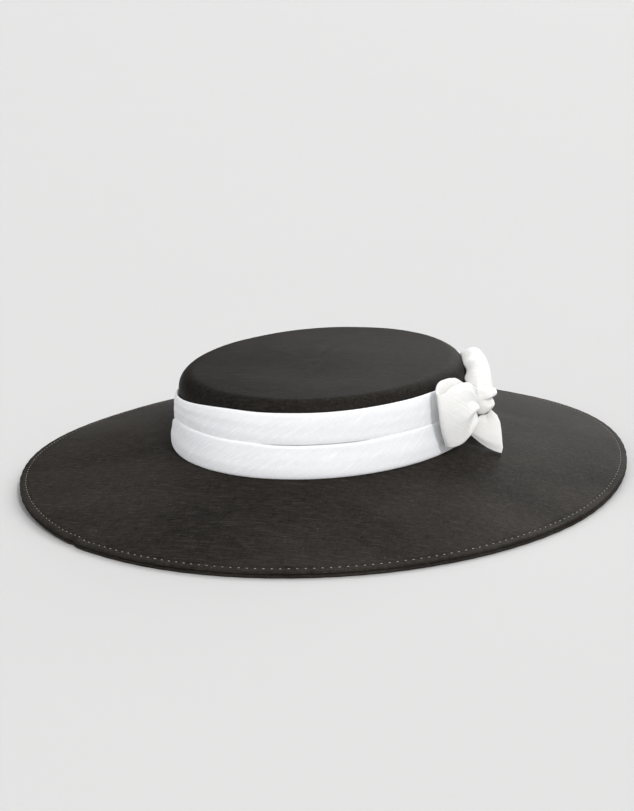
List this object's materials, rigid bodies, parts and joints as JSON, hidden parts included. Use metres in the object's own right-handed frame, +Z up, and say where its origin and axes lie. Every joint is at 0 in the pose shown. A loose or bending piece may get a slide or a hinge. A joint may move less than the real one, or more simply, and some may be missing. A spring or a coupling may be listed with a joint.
{
  "type": "boater hat",
  "caption": "Wide-brimmed boater hat with a low rounded crown, a pleated ribbon band in two tiers and a side bow with a short tail",
  "frame": {"origin": "on the surface that the hat rests on, under the middle of its crown", "axes": "+Z up, -Y the hat's front, +X the side that wears the bow"},
  "size_m": [0.362, 0.39, 0.0658],
  "materials": {
    "black_silk": "slubbed silk, soft sheen",
    "white_silk": "slubbed silk, soft sheen"
  },
  "bodies": {
    "root": {"crown": "black_silk", "brim_top": "black_silk", "brim_under": "black_silk", "band_upper": "white_silk", "band_lower": "white_silk", "bow_loop_front": "white_silk", "bow_loop_back": "white_silk", "bow_knot": "white_silk", "bow_tail": "white_silk"}
  },
  "joints": []
}
